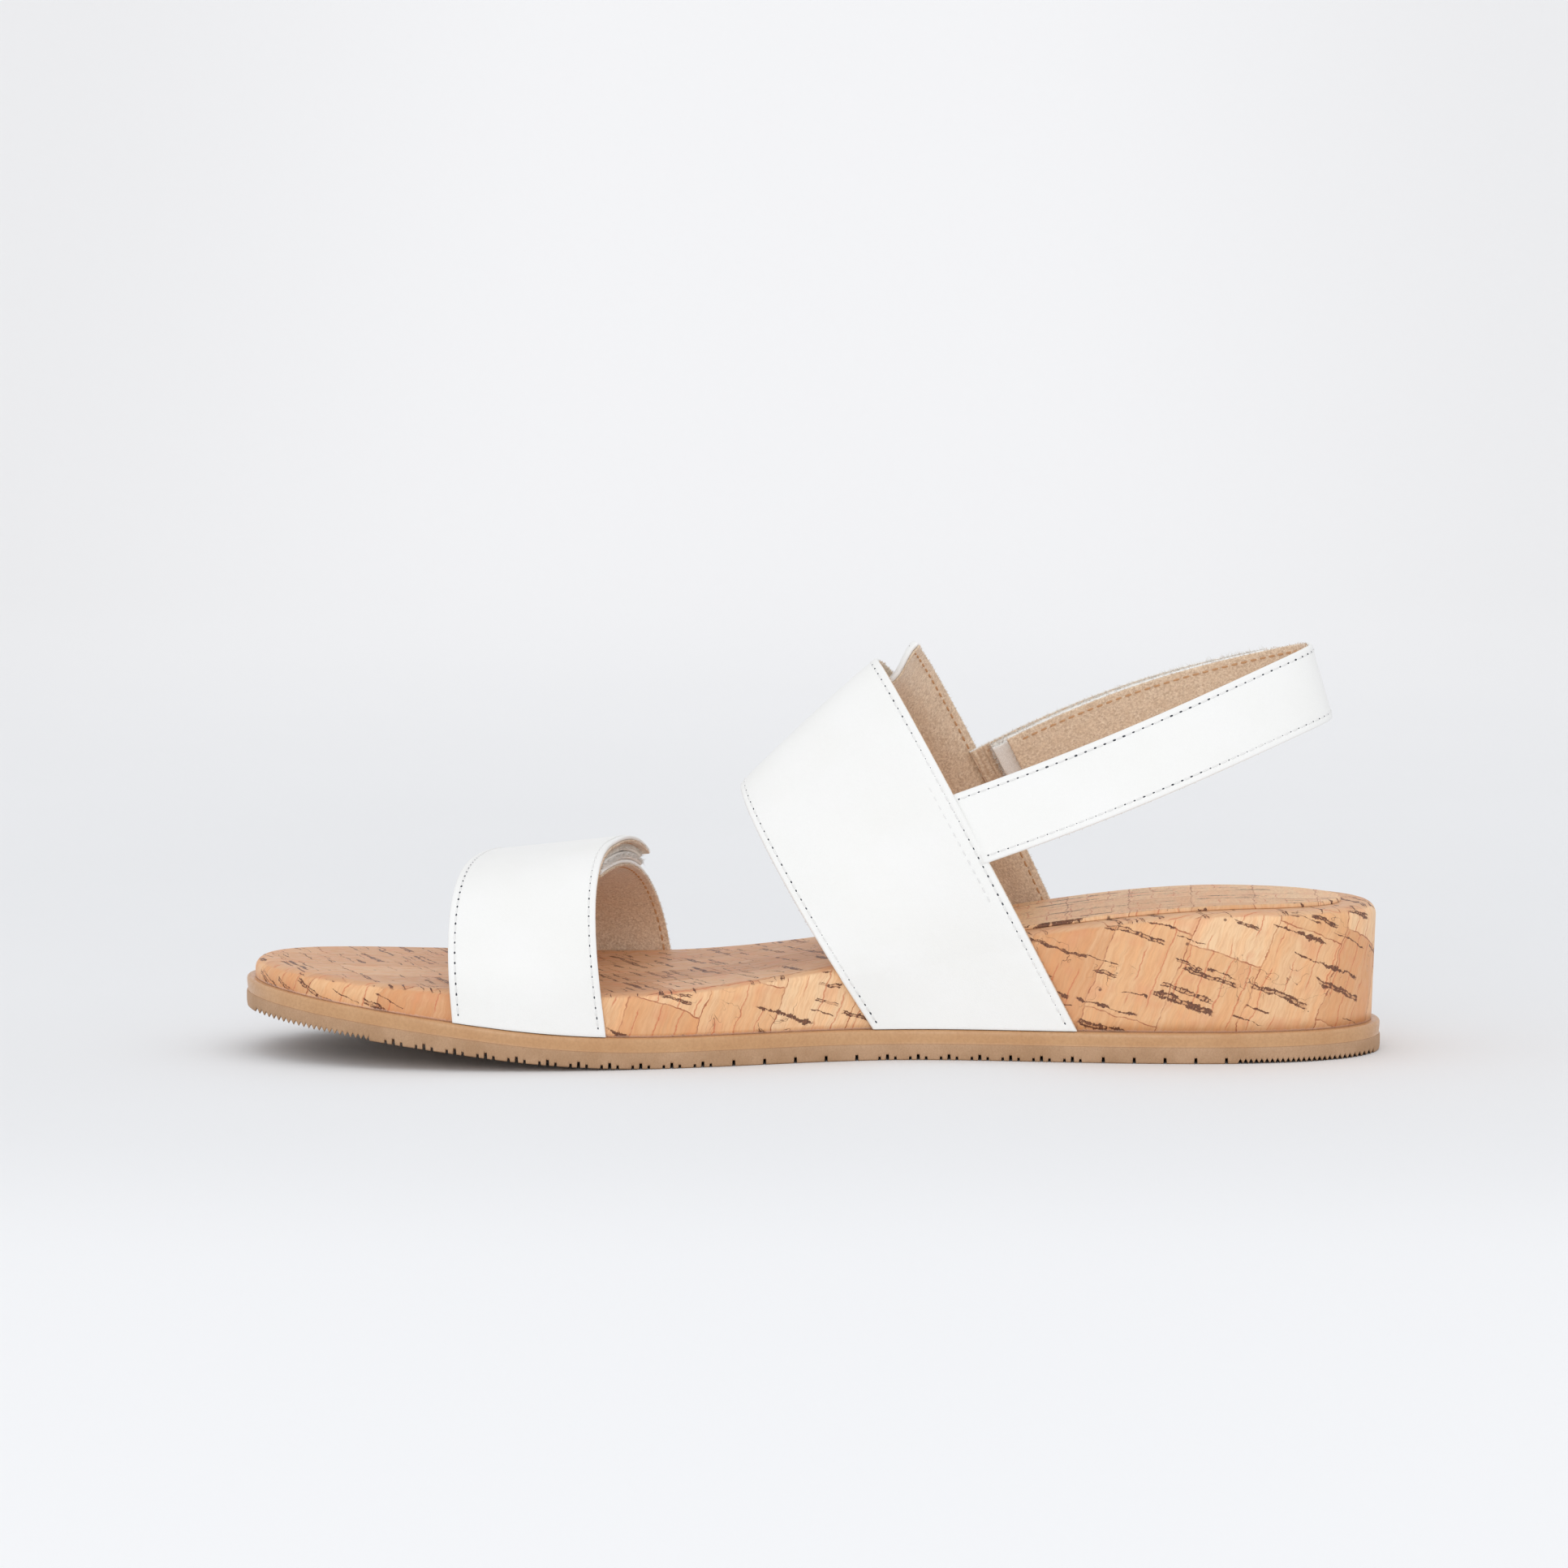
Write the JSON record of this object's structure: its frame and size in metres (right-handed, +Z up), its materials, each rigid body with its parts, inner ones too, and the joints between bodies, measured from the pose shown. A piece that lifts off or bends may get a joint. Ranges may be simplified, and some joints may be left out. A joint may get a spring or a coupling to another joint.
{
  "type": "wedge sandal",
  "caption": "Right-foot slingback wedge sandal with cork-wrapped sole, grooved rubber outsole and hook-and-loop straps.",
  "frame": {"origin": "centre of the footprint box, on the ground", "axes": "+X from toe to heel, +Y to the lateral (outer) side, +Z up"},
  "size_m": [0.255, 0.092, 0.0916],
  "materials": {
    "tan_rubber": "satin",
    "core_foam": "matte foam",
    "shank_steel": "plain strip",
    "fibre_board": "matte",
    "cushion_foam": "matte foam",
    "cork": "sealed cork veneer",
    "sock_cork": "sealed cork veneer",
    "white_leather": "smooth coated",
    "tan_microsuede": "napped",
    "hook_tape": "hooked pile",
    "loop_tape": "looped pile"
  },
  "bodies": {
    "sole": {"outsole": "tan_rubber", "wedge_core": "core_foam", "shank": "shank_steel", "insole_board": "fibre_board", "footbed_foam": "cushion_foam", "cork_wrap": "cork", "heel_sock": "sock_cork", "vamp_strap_leather": "white_leather", "vamp_strap_lining": "tan_microsuede", "vamp_underlay_leather": "white_leather", "vamp_underlay_lining": "tan_microsuede", "vamp_loop_tape": "loop_tape", "instep_strap_leather": "white_leather", "instep_strap_lining": "tan_microsuede", "instep_underlay_leather": "white_leather", "instep_underlay_lining": "tan_microsuede", "instep_loop_tape": "loop_tape"},
    "vamp_flap": {"vamp_flap_leather": "white_leather", "vamp_flap_lining": "tan_microsuede", "vamp_hook_tape": "hook_tape"},
    "instep_flap": {"instep_flap_leather": "white_leather", "instep_flap_lining": "tan_microsuede", "instep_hook_tape": "hook_tape"},
    "heel_strap": {"sling_leather": "white_leather", "sling_lining": "tan_microsuede", "sling_loop_tape": "loop_tape"},
    "heel_tab": {"sling_tab_leather": "white_leather", "sling_tab_lining": "tan_microsuede", "sling_hook_tape": "hook_tape"}
  },
  "joints": [
    {"name": "vamp_flap_hinge", "type": "hinge", "parent": "sole", "child": "vamp_flap", "pos_m": [-0.06206, -0.01953, 0.04467], "axis": [0.9952, 0.0095, 0.0973], "range_deg": [0, 110]},
    {"name": "instep_flap_hinge", "type": "hinge", "parent": "sole", "child": "instep_flap", "pos_m": [-0.00078, -0.00504, 0.07246], "axis": [0.7515, -0.0123, 0.6596], "range_deg": [0, 110]},
    {"name": "heel_strap_swing", "type": "hinge", "parent": "sole", "child": "heel_strap", "pos_m": [0.03544, -0.02538, 0.05195], "axis": [0.4498, -0.2874, -0.8456], "range_deg": [0, 75]},
    {"name": "heel_tab_hinge", "type": "hinge", "parent": "sole", "child": "heel_tab", "pos_m": [0.04068, 0.02741, 0.05876], "axis": [-0.4496, -0.2874, 0.8457], "range_deg": [0, 75]}
  ]
}
